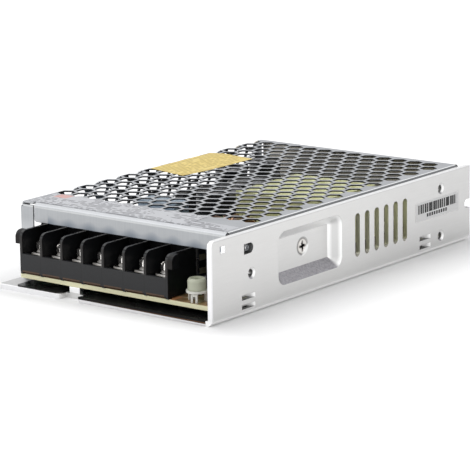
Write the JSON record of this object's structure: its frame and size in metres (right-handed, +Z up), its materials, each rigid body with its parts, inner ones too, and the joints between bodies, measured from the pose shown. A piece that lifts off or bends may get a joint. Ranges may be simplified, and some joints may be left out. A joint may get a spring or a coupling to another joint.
{
  "type": "mesh case switching power supply",
  "caption": "Enclosed switching power supply: folded aluminium chassis, hexagon-perforated steel cover, circuit board, screw terminal block with clamp washers, and a trimmer.",
  "frame": {"origin": "Centre of the footprint on the underside of the chassis.", "axes": "+X towards the side plate, +Y from the terminals to the rear, +Z up from the underside."},
  "size_m": [0.0971, 0.159, 0.0301],
  "materials": {
    "aluminium_sheet": "satin mill finish",
    "black_film": "smooth",
    "black_plastic": "fine grain",
    "black_sleeve": "shrunk sleeve",
    "blue_box": "moulded",
    "blue_coating": "dipped",
    "board": "lacquered laminate",
    "copper": "enamelled wire",
    "dark_coating": "dipped",
    "ferrite": "sintered",
    "green_core": "epoxy coat",
    "green_lens": "clear tint",
    "grey_green_plastic": "smooth",
    "grey_pad": "silicone pad",
    "nickel": "nickel plate",
    "plain_steel": "plain",
    "silver_label": "silver film with grey print",
    "white_ceramic": "glazed",
    "white_label": "matt white",
    "white_plastic": "smooth",
    "yellow_label": "matt yellow",
    "yellow_tape": "thin film tape",
    "zinc_steel": "satin zinc plate"
  },
  "bodies": {
    "supply": {"chassis": "aluminium_sheet", "cover": "zinc_steel", "insulating_film": "black_film", "circuit_board": "board", "terminal_block": "black_plastic", "terminal_contacts": "nickel", "trimmer_base": "white_plastic", "status_led": "green_lens", "transformer_core": "ferrite", "transformer_bobbin": "black_plastic", "transformer_winding": "copper", "transformer_wrap": "yellow_tape", "line_choke_core": "ferrite", "line_choke_coils": "copper", "output_choke_core": "green_core", "output_choke_wire": "copper", "fuse": "white_ceramic", "inrush_limiter": "dark_coating", "varistor": "blue_coating", "x_capacitor": "blue_box", "y_capacitors": "blue_coating", "bridge_rectifier": "black_plastic", "bulk_capacitors": "black_sleeve", "output_capacitors": "black_sleeve", "small_capacitors": "black_sleeve", "output_rectifier": "black_plastic", "power_transistor": "black_plastic", "insulating_pad": "grey_pad", "clamp_bar": "plain_steel", "control_chip": "black_plastic", "optocouplers": "white_plastic", "power_resistors": "blue_coating", "clamp_screw": "nickel", "cover_screws": "nickel", "board_screws": "nickel", "rating_label": "silver_label", "yellow_sticker": "yellow_label", "barcode_label": "white_label"},
    "washer_1": {"clamp_washer_1": "nickel"},
    "screw_1": {"terminal_screw_1": "nickel"},
    "washer_2": {"clamp_washer_2": "nickel"},
    "screw_2": {"terminal_screw_2": "nickel"},
    "washer_3": {"clamp_washer_3": "nickel"},
    "screw_3": {"terminal_screw_3": "nickel"},
    "washer_4": {"clamp_washer_4": "nickel"},
    "screw_4": {"terminal_screw_4": "nickel"},
    "washer_5": {"clamp_washer_5": "nickel"},
    "screw_5": {"terminal_screw_5": "nickel"},
    "washer_6": {"clamp_washer_6": "nickel"},
    "screw_6": {"terminal_screw_6": "nickel"},
    "washer_7": {"clamp_washer_7": "nickel"},
    "screw_7": {"terminal_screw_7": "nickel"},
    "trimmer": {"trimmer_knob": "grey_green_plastic"}
  },
  "joints": [
    {"name": "washer_lift_1", "type": "slide", "parent": "supply", "child": "washer_1", "axis": [0, 0, 1], "range_m": [0, 0.002]},
    {"name": "screw_turn_1", "type": "hinge", "parent": "washer_1", "child": "screw_1", "pos_m": [-0.03574, -0.0682, 0.0132], "axis": [0, 0, 1], "range_deg": [0, 1206]},
    {"name": "washer_lift_2", "type": "slide", "parent": "supply", "child": "washer_2", "axis": [0, 0, 1], "range_m": [0, 0.002]},
    {"name": "screw_turn_2", "type": "hinge", "parent": "washer_2", "child": "screw_2", "pos_m": [-0.02621, -0.0682, 0.0132], "axis": [0, 0, 1], "range_deg": [0, 1206]},
    {"name": "washer_lift_3", "type": "slide", "parent": "supply", "child": "washer_3", "axis": [0, 0, 1], "range_m": [0, 0.002]},
    {"name": "screw_turn_3", "type": "hinge", "parent": "washer_3", "child": "screw_3", "pos_m": [-0.01669, -0.0682, 0.0132], "axis": [0, 0, 1], "range_deg": [0, 1206]},
    {"name": "washer_lift_4", "type": "slide", "parent": "supply", "child": "washer_4", "axis": [0, 0, 1], "range_m": [0, 0.002]},
    {"name": "screw_turn_4", "type": "hinge", "parent": "washer_4", "child": "screw_4", "pos_m": [-0.00716, -0.0682, 0.0132], "axis": [0, 0, 1], "range_deg": [0, 1206]},
    {"name": "washer_lift_5", "type": "slide", "parent": "supply", "child": "washer_5", "axis": [0, 0, 1], "range_m": [0, 0.002]},
    {"name": "screw_turn_5", "type": "hinge", "parent": "washer_5", "child": "screw_5", "pos_m": [0.00236, -0.0682, 0.0132], "axis": [0, 0, 1], "range_deg": [0, 1206]},
    {"name": "washer_lift_6", "type": "slide", "parent": "supply", "child": "washer_6", "axis": [0, 0, 1], "range_m": [0, 0.002]},
    {"name": "screw_turn_6", "type": "hinge", "parent": "washer_6", "child": "screw_6", "pos_m": [0.01189, -0.0682, 0.0132], "axis": [0, 0, 1], "range_deg": [0, 1206]},
    {"name": "washer_lift_7", "type": "slide", "parent": "supply", "child": "washer_7", "axis": [0, 0, 1], "range_m": [0, 0.002]},
    {"name": "screw_turn_7", "type": "hinge", "parent": "washer_7", "child": "screw_7", "pos_m": [0.02141, -0.0682, 0.0132], "axis": [0, 0, 1], "range_deg": [0, 1206]},
    {"name": "trimmer_turn", "type": "hinge", "parent": "supply", "child": "trimmer", "pos_m": [0.0359, -0.0716, 0.0098], "axis": [0, 0, 1], "range_deg": [-130, 130]}
  ],
  "couplings": [
    {"joint": "screw_turn_1", "follows": "washer_lift_1", "rad_per_m": 10472},
    {"joint": "screw_turn_2", "follows": "washer_lift_2", "rad_per_m": 10472},
    {"joint": "screw_turn_3", "follows": "washer_lift_3", "rad_per_m": 10472},
    {"joint": "screw_turn_4", "follows": "washer_lift_4", "rad_per_m": 10472},
    {"joint": "screw_turn_5", "follows": "washer_lift_5", "rad_per_m": 10472},
    {"joint": "screw_turn_6", "follows": "washer_lift_6", "rad_per_m": 10472},
    {"joint": "screw_turn_7", "follows": "washer_lift_7", "rad_per_m": 10472}
  ]
}
